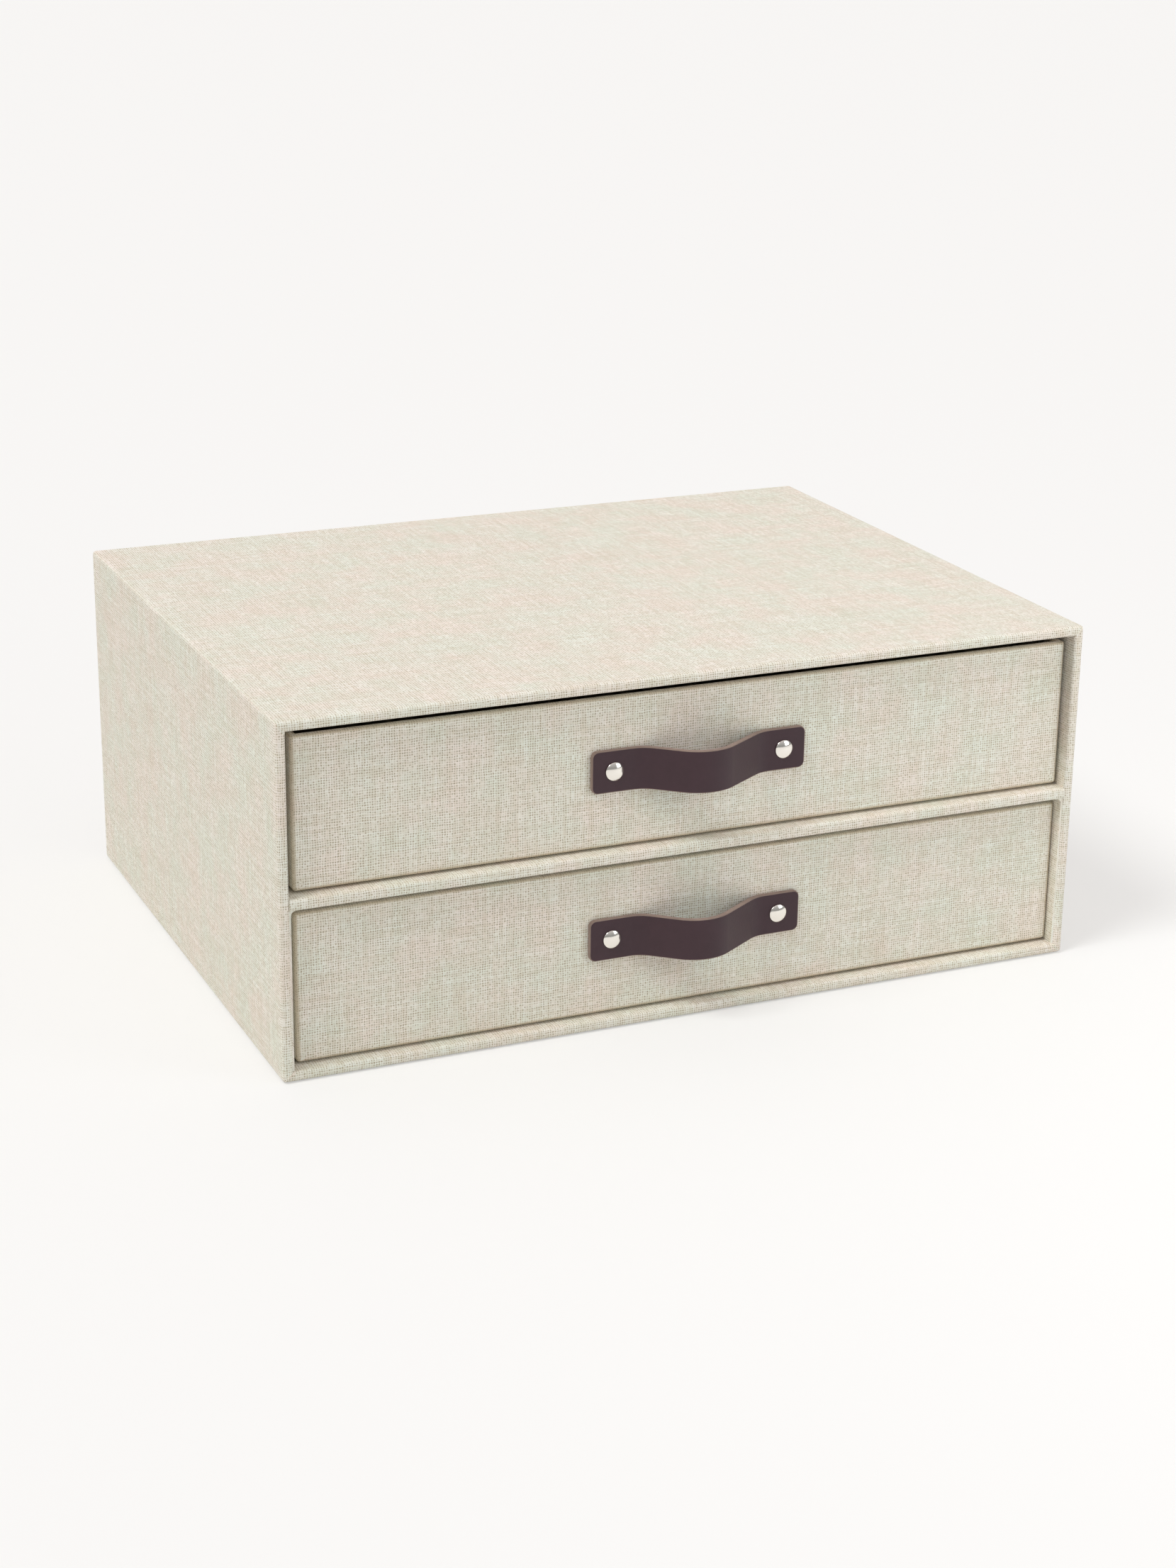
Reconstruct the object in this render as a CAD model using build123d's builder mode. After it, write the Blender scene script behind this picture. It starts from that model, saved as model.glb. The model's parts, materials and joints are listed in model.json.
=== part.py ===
from build123d import *
import os

# A two-drawer file box for A4 paper: greyboard glued into a case and two trays, all of it
# covered in linen book-cloth, with a riveted leather strap on each tray as its handle.
# Millimetres. Origin on the floor under the middle of the case, +Z up, the mouth faces -Y.

# ---- Driving dimensions -------------------------------------------------------------

# the case
case_width = 330.0
case_depth = 250.0
case_height = 138.0
case_board = 3.0        # greyboard of the walls
shelf_greyboard = 3.5   # the shelf is held only at its ends, so its board is thicker
skin = 0.5              # one layer of glued cloth or lining paper
base_sheet = 0.4        # sheet under the whole case, the only thing that touches the floor
edge_round = 1.5        # outer arrises of the covered case
mouth_round = 1.2       # arrises of the walls and the shelf towards the mouth
mouth_turn_in = 20.0    # cloth folded in at the mouth
back_turn_in = 15.0     # cloth folded over onto the back board
panel_margin = 3.0      # a pasted panel stops this far from the edges
panel_fold = 1.0        # width of the step where a panel is pressed down past a turn-in

# the cloth sleeve that hangs from the shelf
leg_thickness = 0.7     # cloth-covered card down the side walls of the lower bay
leg_setback = 1.0       # from the mouth to the front edge of the card
sleeve_round = 2.0      # where the underside of the shelf turns down into the card

# the drawers
side_play = 2.0         # between a drawer and the cloth at each side of the upper bay
top_play = 3.4          # above the upper drawer
shelf_play = 2.9        # between the lower drawer and the shelf
glide_gap = 0.3         # under a drawer
back_gap = 0.5          # behind a drawer that is pushed right in
drawer_recess = 5.0     # from the mouth back to the drawer front
drawer_shift = 1.0      # the drawers stand this far right of the middle
drawer_board = 2.5      # greyboard of the drawers
drawer_corner = 1.8     # upright arrises
drawer_foot = 2.2       # arrises around the underside
drawer_rim = 1.2        # arrises around the top of the walls
rim_turn_in = 15.0      # cloth folded down inside the walls
foot_turn_in = 15.0     # cloth folded under the bottom

# the strap handles
strap_width = 16.5
strap_thickness = 2.0
strap_reach = 88.0      # end to end, measured straight across
strap_height = 31.0     # of its middle above the underside of the drawer
strap_corner = 2.5
grip_peak = 17.6        # where the two slopes would meet, out from the drawer front
grip_peak_x = -2.2      # the crest is a little left of the middle
grip_left_x = -23.0     # foot of the left slope
grip_right_x = 25.5     # foot of the right slope
left_bend = 12.0        # centre line radii of the three bends
crest_bend = 16.0
right_bend = 14.0

# the rivets
rivet_spacing = 70.0
rivet_cap = 7.2         # diameter of the polished cap
rivet_rim = 0.5         # height of the cap's straight edge
rivet_dome = 0.9        # rise of the cap above that edge
rivet_post = 3.0        # diameter of the post
rivet_slack = 0.1       # between the post and its holes, all round
rivet_grip = 0.6        # length of the post inside the back cap
back_cap = 8.0          # diameter of the cap inside the drawer
back_cap_height = 1.2
back_cap_round = 0.5

overcut = 1.0           # how far a cut runs past the face that it opens


# ---- Places worked out from them ----------------------------------------------------

def inset(span, by):
    """The span with both of its ends moved inwards."""
    return (span[0] + by, span[1] - by)


mouth_y = -case_depth / 2
case_back_y = case_depth / 2

cover_x = (-case_width / 2, case_width / 2)
cover_y = (mouth_y, case_back_y - skin)
cover_z = (base_sheet, case_height)

core_x = inset(cover_x, skin)
core_y = inset(cover_y, skin)
core_z = inset(cover_z, skin)

# between the bare boards
room_x = inset(core_x, case_board)
room_z = inset(core_z, case_board)
room_back_y = core_y[1] - case_board

# between the cloth or lining on those boards
bay_x = inset(room_x, skin)
bay_z = inset(room_z, skin)
bay_back_y = room_back_y - skin
turn_in_y = mouth_y + mouth_turn_in

shelf_thickness = shelf_greyboard + 2 * skin
drawers_room = bay_z[1] - bay_z[0] - shelf_thickness - 2 * glide_gap - top_play - shelf_play
drawer_height = drawers_room / 2
lower_bay_height = glide_gap + drawer_height + shelf_play
shelf_z = (bay_z[0] + lower_bay_height, bay_z[0] + lower_bay_height + shelf_thickness)
shelf_core_z = inset(shelf_z, skin)

drawer_width = bay_x[1] - bay_x[0] - 2 * side_play
drawer_front_y = mouth_y + drawer_recess
drawer_depth = bay_back_y - back_gap - drawer_front_y
drawer_floors = {
    "lower_drawer": bay_z[0] + glide_gap,
    "upper_drawer": shelf_z[1] + glide_gap,
}

# a drawer in its own frame: y from its front, z from its underside
tray_x = (-drawer_width / 2, drawer_width / 2)
tray_y = (0.0, drawer_depth)
tray_z = (skin, drawer_height)
tray_core_x = inset(tray_x, skin)
tray_core_y = inset(tray_y, skin)
tray_core_z = inset(tray_z, skin)
tray_floor_z = tray_core_z[0] + drawer_board
tray_room_x = inset(tray_core_x, drawer_board)
tray_room_y = inset(tray_core_y, drawer_board)
tray_inside_x = inset(tray_room_x, skin)
tray_inside_y = inset(tray_room_y, skin)
rim_turn_in_z = drawer_height - rim_turn_in
front_wall = drawer_board + 2 * skin

# on the drawer front, facing out of the mouth
front_plane = Plane(origin=(0, 0, strap_height), x_dir=(1, 0, 0), z_dir=(0, -1, 0))
strap_face = front_plane.offset(strap_thickness)
inner_face = front_plane.offset(-front_wall)


# ---- Helpers ------------------------------------------------------------------------

def block(x_span, y_span, z_span, mode=Mode.ADD):
    """A rectangular block between two limits on each axis."""
    spans = (x_span, y_span, z_span)
    with Locations(tuple(low for low, high in spans)):
        Box(*(high - low for low, high in spans), align=(Align.MIN,) * 3, mode=mode)


def under_cloth(radius):
    """Radius of a board edge whose cloth is rounded to the given radius."""
    return max(radius - skin, skin / 5)


def pasted_panel(face, width, height, window_width, window_height):
    """A sheet glued over the turn-ins and pressed down onto the board inside them."""
    with BuildPart() as panel:
        with BuildSketch(face) as margin:
            Rectangle(width, height)
            hollow_width = window_width - 2 * panel_fold
            hollow_height = window_height - 2 * panel_fold
            Rectangle(hollow_width, hollow_height, mode=Mode.SUBTRACT)
        extrude(amount=-skin)
        with BuildSketch(face.offset(-skin)) as middle:
            Rectangle(window_width, window_height)
        extrude(amount=-skin)
    return panel


def rivet_holes():
    """Both rivet holes of a handle, through whatever stands behind or before the front."""
    depth = 2 * (front_wall + strap_thickness)
    with Locations(front_plane):
        with GridLocations(rivet_spacing, 1, 2, 1):
            Cylinder(rivet_post / 2 + rivet_slack, depth, mode=Mode.SUBTRACT)


def save(part, name):
    """Label a finished piece and write it under that name."""
    part.label = name
    export_step(part, f"parts/{name}.step")


os.makedirs("parts", exist_ok=True)


# ---- The case: five boards cut from one carcass -------------------------------------

with BuildPart() as carcass:
    block(core_x, core_y, core_z)
    fillet(carcass.edges(), under_cloth(edge_round))
    block(room_x, (core_y[0] - overcut, room_back_y), room_z, mode=Mode.SUBTRACT)
    front_face = carcass.faces().filter_by(Axis.Y).sort_by(Axis.Y)[0]
    fillet(front_face.inner_wires()[0].edges(), under_cloth(mouth_round))

board_rooms = {
    "case_top_board": (core_x, core_y, (room_z[1], core_z[1])),
    "case_bottom_board": (core_x, core_y, (core_z[0], room_z[0])),
    "case_left_board": ((core_x[0], room_x[0]), core_y, room_z),
    "case_right_board": ((room_x[1], core_x[1]), core_y, room_z),
    "case_back_board": (room_x, (room_back_y, core_y[1]), room_z),
}
for name, room in board_rooms.items():
    with BuildPart() as wall_board:
        add(carcass.part)
        block(*room, mode=Mode.INTERSECT)
    save(wall_board.part, name)


# ---- The case: cloth and paper ------------------------------------------------------

back_window_x = inset(cover_x, back_turn_in)
back_window_z = inset(cover_z, back_turn_in)

# One piece of book-cloth round all four walls, folded in at the mouth and over the back.
with BuildPart() as case_cover:
    block(cover_x, cover_y, cover_z)
    fillet(case_cover.edges(), edge_round)
    block(bay_x, (mouth_y - overcut, turn_in_y), bay_z, mode=Mode.SUBTRACT)
    front_face = case_cover.faces().filter_by(Axis.Y).sort_by(Axis.Y)[0]
    fillet(front_face.inner_wires()[0].edges(), mouth_round)
    add(carcass.part, mode=Mode.SUBTRACT)
    block(room_x, (turn_in_y, room_back_y), room_z, mode=Mode.SUBTRACT)
    back_skin_y = (core_y[1], cover_y[1] + overcut)
    block(back_window_x, back_skin_y, back_window_z, mode=Mode.SUBTRACT)
save(case_cover.part, "case_cover")

cover_middle_z = (cover_z[0] + cover_z[1]) / 2
case_back_face = Plane(origin=(0, case_back_y, cover_middle_z), x_dir=(-1, 0, 0), z_dir=(0, 1, 0))
case_back_cover = pasted_panel(
    case_back_face,
    case_width - 2 * panel_margin,
    cover_z[1] - cover_z[0] - 2 * panel_margin,
    back_window_x[1] - back_window_x[0],
    back_window_z[1] - back_window_z[0],
)
save(case_back_cover.part, "case_back_cover")

with BuildPart() as case_base_sheet:
    block(inset(cover_x, panel_margin), inset(cover_y, panel_margin), (0, base_sheet))
save(case_base_sheet.part, "case_base_sheet")

with BuildPart() as case_wall_lining:
    block(room_x, (turn_in_y, room_back_y), room_z)
    block(bay_x, (turn_in_y - overcut, room_back_y + overcut), bay_z, mode=Mode.SUBTRACT)
save(case_wall_lining.part, "case_wall_lining")

with BuildPart() as case_back_lining:
    block(bay_x, (bay_back_y, room_back_y), bay_z)
save(case_back_lining.part, "case_back_lining")


# ---- The shelf between the two bays -------------------------------------------------

shelf_y = (mouth_y, bay_back_y)
shelf_core_y = (mouth_y + skin, bay_back_y)

with BuildPart() as shelf_board:
    block(inset(bay_x, skin), shelf_core_y, shelf_core_z)
    nose_edges = shelf_board.edges().filter_by(Axis.X).group_by(Axis.Y)[0]
    fillet(nose_edges, under_cloth(mouth_round))
save(shelf_board.part, "shelf_board")

# The shelf's cloth runs on down both side walls of the lower bay, like a sleeve.
with BuildPart() as shelf_cover:
    block(bay_x, shelf_y, shelf_z)
    nose_edges = shelf_cover.edges().filter_by(Axis.X).group_by(Axis.Y)[0]
    fillet(nose_edges, mouth_round)
    with BuildSketch(Plane.XZ.offset(-mouth_y - leg_setback)) as sleeve_section:
        with Locations((0, bay_z[0])):
            sleeve_width = bay_x[1] - bay_x[0]
            sleeve_height = lower_bay_height + skin
            Rectangle(sleeve_width, sleeve_height, align=(Align.CENTER, Align.MIN))
        with BuildSketch(Plane.XY, mode=Mode.SUBTRACT) as lower_bay:
            with Locations((0, bay_z[0] - overcut)):
                lower_width = sleeve_width - 2 * leg_thickness
                lower_height = lower_bay_height + overcut
                Rectangle(lower_width, lower_height, align=(Align.CENTER, Align.MIN))
            fillet(lower_bay.vertices().group_by(Axis.Y)[-1], sleeve_round)
    extrude(amount=-(bay_back_y - mouth_y - leg_setback))
    add(shelf_board.part, mode=Mode.SUBTRACT)
save(shelf_cover.part, "shelf_cover")


# ---- A drawer, in its own frame -----------------------------------------------------

def round_tray(tray, corner, foot, rim):
    """Round a tray's upright, lower and upper outer arrises."""
    fillet(tray.edges().filter_by(Axis.Z), corner)
    fillet(tray.edges().group_by(Axis.Z)[0], foot)
    fillet(tray.edges().group_by(Axis.Z)[-1], rim)


with BuildPart() as tray_carcass:
    block(tray_core_x, tray_core_y, tray_core_z)
    round_tray(
        tray_carcass,
        under_cloth(drawer_corner),
        under_cloth(drawer_foot),
        under_cloth(drawer_rim),
    )
    tray_room_z = (tray_floor_z, drawer_height)
    block(tray_room_x, tray_room_y, tray_room_z, mode=Mode.SUBTRACT)
    rim_face = tray_carcass.faces().filter_by(Axis.Z).sort_by(Axis.Z)[-1]
    fillet(rim_face.inner_wires()[0].edges(), under_cloth(drawer_rim))
    rivet_holes()

wall_z = (tray_floor_z, drawer_height)
front_wall_y = (tray_core_y[0], tray_room_y[0])
back_wall_y = (tray_room_y[1], tray_core_y[1])
tray_board_rooms = {
    "bottom_board": (tray_core_x, tray_core_y, (tray_core_z[0], tray_floor_z)),
    "front_board": (tray_core_x, front_wall_y, wall_z),
    "back_board": (tray_core_x, back_wall_y, wall_z),
    "left_board": ((tray_core_x[0], tray_room_x[0]), tray_room_y, wall_z),
    "right_board": ((tray_room_x[1], tray_core_x[1]), tray_room_y, wall_z),
}
drawer_pieces = {}
for name, room in tray_board_rooms.items():
    with BuildPart() as tray_board:
        add(tray_carcass.part)
        block(*room, mode=Mode.INTERSECT)
    drawer_pieces[name] = tray_board.part

foot_window_x = inset(tray_x, foot_turn_in)
foot_window_y = inset(tray_y, foot_turn_in)

# Book-cloth round the four walls, folded down inside them and under the bottom.
with BuildPart() as tray_cover:
    block(tray_x, tray_y, tray_z)
    round_tray(tray_cover, drawer_corner, drawer_foot, drawer_rim)
    block(tray_inside_x, tray_inside_y, (rim_turn_in_z, drawer_height), mode=Mode.SUBTRACT)
    rim_face = tray_cover.faces().filter_by(Axis.Z).sort_by(Axis.Z)[-1]
    fillet(rim_face.inner_wires()[0].edges(), drawer_rim)
    add(tray_carcass.part, mode=Mode.SUBTRACT)
    block(tray_room_x, tray_room_y, (tray_floor_z, rim_turn_in_z), mode=Mode.SUBTRACT)
    foot_skin_z = (tray_z[0] - overcut, tray_core_z[0])
    block(foot_window_x, foot_window_y, foot_skin_z, mode=Mode.SUBTRACT)
    rivet_holes()
drawer_pieces["cover"] = tray_cover.part

with BuildPart() as tray_lining:
    block(tray_room_x, tray_room_y, (tray_floor_z, rim_turn_in_z))
    lined_z = (tray_floor_z + skin, rim_turn_in_z + overcut)
    block(tray_inside_x, tray_inside_y, lined_z, mode=Mode.SUBTRACT)
    rivet_holes()
drawer_pieces["lining"] = tray_lining.part

tray_underside = Plane(origin=(0, drawer_depth / 2, 0), x_dir=(1, 0, 0), z_dir=(0, 0, -1))
tray_base_sheet = pasted_panel(
    tray_underside,
    drawer_width - 2 * panel_margin,
    drawer_depth - 2 * panel_margin,
    foot_window_x[1] - foot_window_x[0],
    foot_window_y[1] - foot_window_y[0],
)
drawer_pieces["base_sheet"] = tray_base_sheet.part

# A leather strap seen from above: flat at both ends, bowed out between them as the grip.
with BuildPart() as strap:
    with BuildSketch(Plane.XY.offset(strap_height - strap_width / 2)) as strap_plan:
        with BuildLine() as strap_line:
            flat_y = -strap_thickness / 2
            FilletPolyline(
                (-strap_reach / 2, flat_y),
                (grip_left_x, flat_y),
                (grip_peak_x, flat_y - grip_peak),
                (grip_right_x, flat_y),
                (strap_reach / 2, flat_y),
                radius=(left_bend, crest_bend, right_bend),
            )
        trace(line_width=strap_thickness)
    extrude(amount=strap_width)
    end_faces = strap.faces().filter_by(Axis.X)
    fillet(end_faces.edges().filter_by(Axis.Y), strap_corner)
    rivet_holes()
drawer_pieces["handle"] = strap.part

# One rivet with its cap on the plane and its post below it.
post_end = -(strap_thickness + front_wall + rivet_grip)
with BuildPart() as rivet:
    with BuildSketch(Plane.XZ) as rivet_profile:
        with BuildLine():
            cap_top = (0, rivet_rim + rivet_dome)
            Polyline(
                cap_top,
                (0, post_end),
                (rivet_post / 2, post_end),
                (rivet_post / 2, 0),
                (rivet_cap / 2, 0),
                (rivet_cap / 2, rivet_rim),
            )
            RadiusArc(
                (rivet_cap / 2, rivet_rim),
                cap_top,
                -((rivet_cap / 2) ** 2 + rivet_dome**2) / (2 * rivet_dome),
            )
        make_face()
    revolve(axis=Axis.Z)

with BuildPart() as rivets:
    with Locations(strap_face):
        with GridLocations(rivet_spacing, 1, 2, 1):
            add(rivet.part)
drawer_pieces["rivets"] = rivets.part

# The cap pressed onto the post's end, with its socket towards the wall.
with BuildPart() as rivet_back:
    Cylinder(back_cap / 2, back_cap_height, align=(Align.CENTER, Align.CENTER, Align.MAX))
    fillet(rivet_back.edges().group_by(Axis.Z)[0], back_cap_round)
    Cylinder(
        rivet_post / 2 + rivet_slack,
        rivet_grip,
        align=(Align.CENTER, Align.CENTER, Align.MAX),
        mode=Mode.SUBTRACT,
    )

with BuildPart() as rivet_backs:
    with Locations(inner_face):
        with GridLocations(rivet_spacing, 1, 2, 1):
            add(rivet_back.part)
drawer_pieces["rivet_backs"] = rivet_backs.part


# ---- Both drawers in their bays -----------------------------------------------------

for drawer, floor in drawer_floors.items():
    seat = Location((drawer_shift, drawer_front_y, floor))
    for name, piece in drawer_pieces.items():
        save(piece.moved(seat), f"{drawer}_{name}")

print("case", case_width, case_depth, case_height)
print("drawer", drawer_width, drawer_depth, drawer_height, "floors", drawer_floors)
print("inside of a drawer", tray_inside_x, tray_inside_y, tray_floor_z + skin)
print("lower bay height", lower_bay_height, "shelf", shelf_z, "drawer front y", drawer_front_y)
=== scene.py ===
# %% [markdown]
# # A cloth-covered file box with two drawers
#
# The box is greyboard wrapped in linen book-cloth. Its boards, joints and sizes come from the
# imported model, which is the fixed frame here. This lesson dresses that frame: it lays cloth over
# the boards, bows two leather straps, presses the rivets in and lights the whole like a product
# photograph. Everything is in metres, in the frame's own axes: +Z up, and the mouth faces -Y.

import json
import math

import bmesh
import bpy
from mathutils import Matrix, Vector


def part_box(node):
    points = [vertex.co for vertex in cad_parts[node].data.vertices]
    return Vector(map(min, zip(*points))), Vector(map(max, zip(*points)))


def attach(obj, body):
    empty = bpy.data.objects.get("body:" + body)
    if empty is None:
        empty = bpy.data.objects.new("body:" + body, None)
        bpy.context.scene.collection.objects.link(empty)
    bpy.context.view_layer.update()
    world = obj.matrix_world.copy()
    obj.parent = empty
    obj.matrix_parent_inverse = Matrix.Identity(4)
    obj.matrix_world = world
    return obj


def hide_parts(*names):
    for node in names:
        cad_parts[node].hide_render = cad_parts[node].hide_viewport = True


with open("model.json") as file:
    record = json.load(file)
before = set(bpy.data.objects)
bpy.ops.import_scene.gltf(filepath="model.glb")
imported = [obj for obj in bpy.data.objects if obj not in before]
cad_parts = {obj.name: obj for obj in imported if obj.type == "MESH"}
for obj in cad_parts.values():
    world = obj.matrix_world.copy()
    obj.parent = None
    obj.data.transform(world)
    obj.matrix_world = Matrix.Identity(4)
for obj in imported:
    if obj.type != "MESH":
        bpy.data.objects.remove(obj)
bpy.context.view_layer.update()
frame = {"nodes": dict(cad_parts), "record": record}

# %% A millimetre, because the pieces are measured in them
MM = 0.001

# %% [markdown]
# ## Camera
#
# The photograph was taken from the front left and a little above, with a long lens. A camera could
# be aimed with a Track To constraint, but three turns say the same and stay put: the heading to the
# right of straight ahead, the tilt down, and the small roll of a hand-held camera.

# %% Camera
camera_place = Vector((-0.4489, -1.0342, 0.4510))
heading = math.radians(23.903)
tilt_down = math.radians(19.435)
roll = math.radians(0.738)

camera = bpy.data.objects.new("camera", bpy.data.cameras.new("camera"))
bpy.context.scene.collection.objects.link(camera)
bpy.context.scene.camera = camera
camera.data.sensor_width = 36.0
camera.data.lens = 66.129
camera.matrix_world = (
    Matrix.Translation(camera_place)
    @ Matrix.Rotation(-heading, 4, "Z")
    @ Matrix.Rotation(math.radians(90) - tilt_down, 4, "X")
    @ Matrix.Rotation(roll, 4, "Z")
)
print("camera:", round(camera_place.length, 3), "m from the box, lens", camera.data.lens, "mm")

# %% [markdown]
# ## Colours and nodes
#
# Colours are written as they look on a screen, as sRGB hex values. Blender's sockets want linear
# light, so one function turns each hex value into that. A second one adds a shader node: a plain
# value goes into an input socket, another node's output is linked to it, and whatever is named
# after them is a setting of the node.

# %% Helpers for colours and nodes
def colour(hex_value):
    """An sRGB hex colour as linear red, green, blue and full alpha."""
    channels = [int(hex_value[i:i + 2], 16) / 255 for i in (0, 2, 4)]
    linear = [c / 12.92 if c <= 0.04045 else ((c + 0.055) / 1.055) ** 2.4 for c in channels]
    return (*linear, 1.0)


def add_node(tree, kind, inputs=None, **settings):
    """Add one node to a tree and return it."""
    node = tree.nodes.new(kind)
    for name, value in settings.items():
        setattr(node, name, value)
    for socket, value in (inputs or {}).items():
        if isinstance(value, bpy.types.NodeSocket):
            tree.links.new(value, node.inputs[socket])
        else:
            node.inputs[socket].default_value = value
    return node


def new_material(name):
    """An empty node material and its tree."""
    material = bpy.data.materials.new(name)
    material.use_nodes = True
    material.node_tree.nodes.clear()
    return material, material.node_tree


def finish_material(tree, surface):
    """Wire the last shader to the material's output."""
    add_node(tree, "ShaderNodeOutputMaterial", {"Surface": surface})


# A Mix node holds sockets for numbers, vectors and colours side by side. These are the colour ones.
MIX_A, MIX_B, MIX_RESULT = 6, 7, 2
print("a grey of half strength on the screen is", round(colour("808080")[0], 3), "in linear light")

# %% [markdown]
# ## Light and floor
#
# The picture is lit like most product shots: a white room all round, which leaves only soft
# shadows, and a window of light from the left that drops the box's shadow on the floor at its
# right. The room is the world's background, brighter and a little pinker towards the ceiling, so
# the top becomes the brightest face. The window is a sun with a wide disc, because a sun lights a
# floor evenly to the horizon where an area lamp fades. A small panel at the front right does fade,
# and that is why it is there: it lifts only the right end of the drawers.

# %% Room
ceiling_strength, ceiling_colour = 0.83, colour("FFF8FA")
skirting_strength, skirting_colour = 0.26, colour("FBFEFD")
backdrop_white = colour("F9F8F6")

room = bpy.data.worlds.new("white_room")
room.use_nodes = True
room.node_tree.nodes.clear()
bpy.context.scene.world = room
tree = room.node_tree
direction = add_node(tree, "ShaderNodeTexCoord").outputs["Generated"]
height = add_node(tree, "ShaderNodeSeparateXYZ", {0: direction}).outputs["Z"]
tint = add_node(tree, "ShaderNodeMix",
                {0: height, MIX_A: skirting_colour, MIX_B: ceiling_colour}, data_type="RGBA")
strength = add_node(tree, "ShaderNodeMapRange",
                    {"Value": height, "To Min": skirting_strength, "To Max": ceiling_strength})
walls = add_node(tree, "ShaderNodeBackground",
                 {"Color": tint.outputs[MIX_RESULT], "Strength": strength.outputs[0]})
backdrop = add_node(tree, "ShaderNodeBackground", {"Color": backdrop_white, "Strength": 1.0})
seen = add_node(tree, "ShaderNodeLightPath").outputs["Is Camera Ray"]
both = add_node(tree, "ShaderNodeMixShader",
                {0: seen, 1: walls.outputs[0], 2: backdrop.outputs[0]})
add_node(tree, "ShaderNodeOutputWorld", {"Surface": both.outputs[0]})
print("room:", skirting_strength, "at the skirting,", ceiling_strength, "at the ceiling")

# %% Lamps
window_travel = (0.573, 0.132, -0.809)      # read off the shadow: 54 degrees up, from the left
window_strength = 1.42
window_disc = math.radians(22)              # as wide as it looks from the box
panel_place = Vector((0.42, -0.55, 0.30))
panel_target = Vector((0.12, -0.12, 0.07))
panel_watts = 0.7
panel_size = 0.3


def add_lamp(name, kind, strength, travel):
    """A lamp at the origin whose light travels in the given direction."""
    data = bpy.data.lights.new(name, kind)
    data.energy = strength
    lamp = bpy.data.objects.new(name, data)
    lamp.rotation_euler = Vector(travel).to_track_quat("-Z", "Y").to_euler()
    bpy.context.scene.collection.objects.link(lamp)
    return lamp


window = add_lamp("window_left", "SUN", window_strength, window_travel)
window.data.angle = window_disc
window.data.color = colour("FCFFFE")[:3]
panel = add_lamp("panel_right", "AREA", panel_watts, panel_target - panel_place)
panel.location = panel_place
panel.data.color = colour("F6FDFF")[:3]
panel.data.shape = "SQUARE"
panel.data.size = panel_size
panel.visible_camera = False
bpy.context.scene.view_settings.view_transform = "Standard"

# %% Floor
floor_size = 40.0
floor_mesh = bmesh.new()
bmesh.ops.create_grid(floor_mesh, x_segments=1, y_segments=1, size=floor_size / 2)
floor_data = bpy.data.meshes.new("floor")
floor_mesh.to_mesh(floor_data)
floor_mesh.free()
floor = bpy.data.objects.new("floor", floor_data)
bpy.context.scene.collection.objects.link(floor)

# Matt laminate, with no gloss that could mirror the box. In the picture the floor is as white as
# the backdrop, so where the camera or a mirror sees it, a share of it glows in that white. The
# rest is a plain surface, which keeps the shadow. To the box it is a little greyer than it looks.
white_share = 0.45
laminate_grey = colour("E3E3E1")
laminate, tree = new_material("matt_laminate")
path = add_node(tree, "ShaderNodeLightPath")
seen = add_node(tree, "ShaderNodeMath", {0: path.outputs["Is Camera Ray"],
                                         1: path.outputs["Is Glossy Ray"]}, operation="MAXIMUM")
top_colour = add_node(tree, "ShaderNodeMix",
                      {0: seen.outputs[0], MIX_A: laminate_grey, MIX_B: backdrop_white},
                      data_type="RGBA")
plain = add_node(tree, "ShaderNodeBsdfPrincipled", {
    "Base Color": top_colour.outputs[MIX_RESULT],
    "Roughness": 0.9,
    "Specular IOR Level": 0.1,
})
glow = add_node(tree, "ShaderNodeEmission", {"Color": backdrop_white, "Strength": 1.0})
share = add_node(tree, "ShaderNodeMath", {0: seen.outputs[0], 1: white_share},
                 operation="MULTIPLY")
shown = add_node(tree, "ShaderNodeMixShader",
                 {0: share.outputs[0], 1: plain.outputs[0], 2: glow.outputs[0]})
finish_material(tree, shown.outputs[0])
floor_data.materials.append(laminate)
print("floor:", floor_size, "m across")

# %% [markdown]
# ## Linen book-cloth
#
# Book-cloth is a plain-woven linen whose holes are filled with starch and backed with paper. The
# filling flattens the threads, so the eye sees pale square cells with a small dark pit at each
# corner, where four threads leave a hole. Some pits are filled better than others, here and there
# a thread is thicker (a slub), and the flax itself drifts between a pinkish and a greenish beige.
#
# A picture of cloth could be tiled over the box, but a picture repeats. Two crossed cosine waves
# make the grid of pits from nothing, a checker lets warp and weft lie on top by turns, and noise
# textures make each pit, thread and patch different. The grid runs on each piece's own UV map,
# which is the flat cloth measured in metres.

# %% Linen book-cloth material
thread_pitch = 0.95 * MM    # one thread and the gap beside it
thread_wander = 1.1 * MM    # how far a thread strays from its straight line
wander_length = 9 * MM
slub_length = 28 * MM
slub_width = 1.1 * MM
cluster_size = 5 * MM       # well and badly filled areas
patch_size = 24 * MM        # drift of the flax's colour
relief_depth = 0.10 * MM

pinkish_flax, greenish_flax = colour("F9EEE2"), colour("F2F2E4")
pit_brown = colour("BAAD92")
# A warm tan, painted on the drawers' rounded arrises as shade.
arris_shaded_tan = colour("CDB894")

dip_share = 0.55            # how deep a diving thread lies, where a hole is 1
filling_share = 0.7         # how much the area's filling counts, where a hole's luck is 1
thread_contrast = 0.085     # how far a thread's brightness strays from 1
starch_tint = Vector((0.8, 1.0, 1.4))
# How strongly that painted arris shade is laid on.
arris_shade_share = 0.45


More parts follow.
